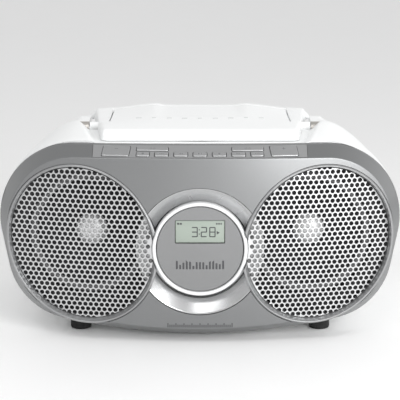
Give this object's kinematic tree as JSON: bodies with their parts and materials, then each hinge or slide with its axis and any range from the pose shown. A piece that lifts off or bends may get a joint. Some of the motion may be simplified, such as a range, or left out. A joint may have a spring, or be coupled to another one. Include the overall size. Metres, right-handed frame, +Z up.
{
  "type": "portable radio disc player",
  "caption": "Portable radio and disc player with a bowed front, twin round grilles, a round display, top lid, folding handle and telescopic aerial.",
  "frame": {"origin": "on the standing surface, under the middle of the whole object", "axes": "+X to the listener's right, -Y towards the listener, +Z up"},
  "size_m": [0.3038, 0.2091, 0.1555],
  "materials": {
    "silver_shell": "satin silver paint on moulded plastic",
    "white_shell": "satin white moulded plastic",
    "grille_metal": "perforated sheet, pale silver paint",
    "bright_trim": "polished pale ring",
    "lens_plastic": "glossy grey with a metallic fleck",
    "lcd_glass": "grey green liquid crystal panel",
    "circuit_board": "green laminate",
    "black_steel": "black painted pressing",
    "plain_steel": "plain steel",
    "bronze": "sintered bronze",
    "soft_rubber": "matt black rubber",
    "cone_paper": "pressed paper, with a pale dust cap",
    "black_plastic": "fine grained black plastic",
    "white_gear": "natural acetal",
    "bright_tube": "bright plated tube",
    "button_plastic": "silver painted keys"
  },
  "bodies": {
    "cabinet": {"front_cabinet": "silver_shell", "top_cover": "white_shell", "rear_cabinet": "white_shell", "left_bezel": "silver_shell", "right_bezel": "silver_shell", "left_grille": "grille_metal", "right_grille": "grille_metal", "display_surround": "silver_shell", "display_ring": "bright_trim", "display_lens": "lens_plastic", "lcd_module": "lcd_glass", "display_board": "circuit_board", "left_speaker_frame": "black_steel", "right_speaker_frame": "black_steel", "left_speaker_magnet": "plain_steel", "right_speaker_magnet": "plain_steel", "left_surround": "soft_rubber", "right_surround": "soft_rubber", "cd_tray": "white_shell", "cd_chassis": "black_plastic", "chassis_isolators": "soft_rubber", "spindle_motor": "plain_steel", "guide_rods": "plain_steel", "sled_motor": "plain_steel", "lid_hinge_pins": "plain_steel", "handle_bushes": "bronze", "control_panel": "silver_shell", "button_board": "circuit_board", "main_board": "circuit_board", "transformer": "plain_steel", "ac_inlet": "black_plastic", "audio_jack": "black_plastic", "battery_contacts": "plain_steel", "rubber_feet": "soft_rubber", "case_screws": "plain_steel"},
    "lid": {"cd_lid": "white_shell"},
    "clamp": {"disc_clamp": "black_plastic"},
    "turntable": {"turntable_hub": "black_plastic"},
    "sled": {"laser_sled": "black_plastic"},
    "gear": {"sled_gear": "white_gear"},
    "handle": {"carry_handle": "white_shell", "handle_pins": "plain_steel"},
    "battery_cover": {"battery_door": "white_shell"},
    "aerial_root": {"aerial_base": "black_plastic"},
    "aerial_outer": {"aerial_tube": "bright_tube"},
    "aerial_middle": {"aerial_mid": "bright_tube"},
    "aerial_end": {"aerial_tip": "bright_tube"},
    "left_cone_body": {"left_cone": "cone_paper"},
    "right_cone_body": {"right_cone": "cone_paper"},
    "volume_down_button_body": {"volume_down_button": "button_plastic"},
    "mode_button_body": {"mode_button": "button_plastic"},
    "source_button_body": {"source_button": "button_plastic"},
    "program_button_body": {"program_button": "button_plastic"},
    "previous_button_body": {"previous_button": "button_plastic"},
    "play_button_body": {"play_button": "button_plastic"},
    "stop_button_body": {"stop_button": "button_plastic"},
    "next_button_body": {"next_button": "button_plastic"},
    "band_button_body": {"band_button": "button_plastic"},
    "tune_button_body": {"tune_button": "button_plastic"},
    "volume_up_button_body": {"volume_up_button": "button_plastic"}
  },
  "joints": [
    {"name": "lid_hinge", "type": "hinge", "parent": "cabinet", "child": "lid", "pos_m": [0, 0.054, 0.1465], "axis": [-1, 0, 0], "range_deg": [0, 65]},
    {"name": "clamp_spin", "type": "hinge", "parent": "lid", "child": "clamp", "pos_m": [0, -0.0015, 0.145], "axis": [0, 0, 1], "continuous": true},
    {"name": "turntable_spin", "type": "hinge", "parent": "cabinet", "child": "turntable", "pos_m": [0, -0.0015, 0.12], "axis": [0, 0, 1], "continuous": true},
    {"name": "sled_slide", "type": "slide", "parent": "cabinet", "child": "sled", "axis": [0, 1, 0], "range_m": [0, 0.024]},
    {"name": "gear_turn", "type": "hinge", "parent": "cabinet", "child": "gear", "pos_m": [0.0245, 0.0255, 0.1055], "axis": [0, 0, -1], "range_deg": [0, 275]},
    {"name": "handle_hinge", "type": "hinge", "parent": "cabinet", "child": "handle", "pos_m": [0, -0.007, 0.1465], "axis": [1, 0, 0], "range_deg": [0, 95]},
    {"name": "battery_door_lift", "type": "slide", "parent": "cabinet", "child": "battery_cover", "axis": [0, 1, 0], "range_m": [0, 0.012]},
    {"name": "aerial_swivel", "type": "hinge", "parent": "cabinet", "child": "aerial_root", "pos_m": [-0.106, 0.1, 0.122], "axis": [0, -1, 0], "range_deg": [0, 180]},
    {"name": "aerial_elbow", "type": "hinge", "parent": "aerial_root", "child": "aerial_outer", "pos_m": [-0.1085, 0.1, 0.122], "axis": [0, 0, 1], "range_deg": [0, 90]},
    {"name": "aerial_first_draw", "type": "slide", "parent": "aerial_outer", "child": "aerial_middle", "axis": [1, 0, 0], "range_m": [0, 0.15]},
    {"name": "aerial_second_draw", "type": "slide", "parent": "aerial_middle", "child": "aerial_end", "axis": [1, 0, 0], "range_m": [0, 0.15]},
    {"name": "left_cone_travel", "type": "slide", "parent": "cabinet", "child": "left_cone_body", "axis": [0, 1, 0], "range_m": [-0.0015, 0.0015], "stiffness_N_per_m": 1500},
    {"name": "right_cone_travel", "type": "slide", "parent": "cabinet", "child": "right_cone_body", "axis": [0, 1, 0], "range_m": [-0.0015, 0.0015], "stiffness_N_per_m": 1500},
    {"name": "volume_down_press", "type": "slide", "parent": "cabinet", "child": "volume_down_button_body", "axis": [0.0762, 0.4902, -0.8682], "range_m": [0, 0.0008], "stiffness_N_per_m": 400},
    {"name": "mode_press", "type": "slide", "parent": "cabinet", "child": "mode_button_body", "axis": [0.0435, 0.4942, -0.8682], "range_m": [0, 0.0008], "stiffness_N_per_m": 400},
    {"name": "source_press", "type": "slide", "parent": "cabinet", "child": "source_button_body", "axis": [0.0521, 0.4934, -0.8682], "range_m": [0, 0.0008], "stiffness_N_per_m": 400},
    {"name": "program_press", "type": "slide", "parent": "cabinet", "child": "program_button_body", "axis": [0.0351, 0.4949, -0.8682], "range_m": [0, 0.0008], "stiffness_N_per_m": 400},
    {"name": "previous_press", "type": "slide", "parent": "cabinet", "child": "previous_button_body", "axis": [0.0176, 0.4958, -0.8682], "range_m": [0, 0.0008], "stiffness_N_per_m": 400},
    {"name": "play_press", "type": "slide", "parent": "cabinet", "child": "play_button_body", "axis": [0, 0.4961, -0.8682], "range_m": [0, 0.0008], "stiffness_N_per_m": 400},
    {"name": "stop_press", "type": "slide", "parent": "cabinet", "child": "stop_button_body", "axis": [-0.0176, 0.4958, -0.8682], "range_m": [0, 0.0008], "stiffness_N_per_m": 400},
    {"name": "next_press", "type": "slide", "parent": "cabinet", "child": "next_button_body", "axis": [-0.0351, 0.4949, -0.8682], "range_m": [0, 0.0008], "stiffness_N_per_m": 400},
    {"name": "band_press", "type": "slide", "parent": "cabinet", "child": "band_button_body", "axis": [-0.0521, 0.4934, -0.8682], "range_m": [0, 0.0008], "stiffness_N_per_m": 400},
    {"name": "tune_press", "type": "slide", "parent": "cabinet", "child": "tune_button_body", "axis": [-0.0435, 0.4942, -0.8682], "range_m": [0, 0.0008], "stiffness_N_per_m": 400},
    {"name": "volume_up_press", "type": "slide", "parent": "cabinet", "child": "volume_up_button_body", "axis": [-0.0762, 0.4902, -0.8682], "range_m": [0, 0.0008], "stiffness_N_per_m": 400}
  ],
  "couplings": [
    {"joint": "gear_turn", "follows": "sled_slide", "rad_per_m": 188.68},
    {"joint": "aerial_second_draw", "follows": "aerial_first_draw", "ratio": 1}
  ]
}
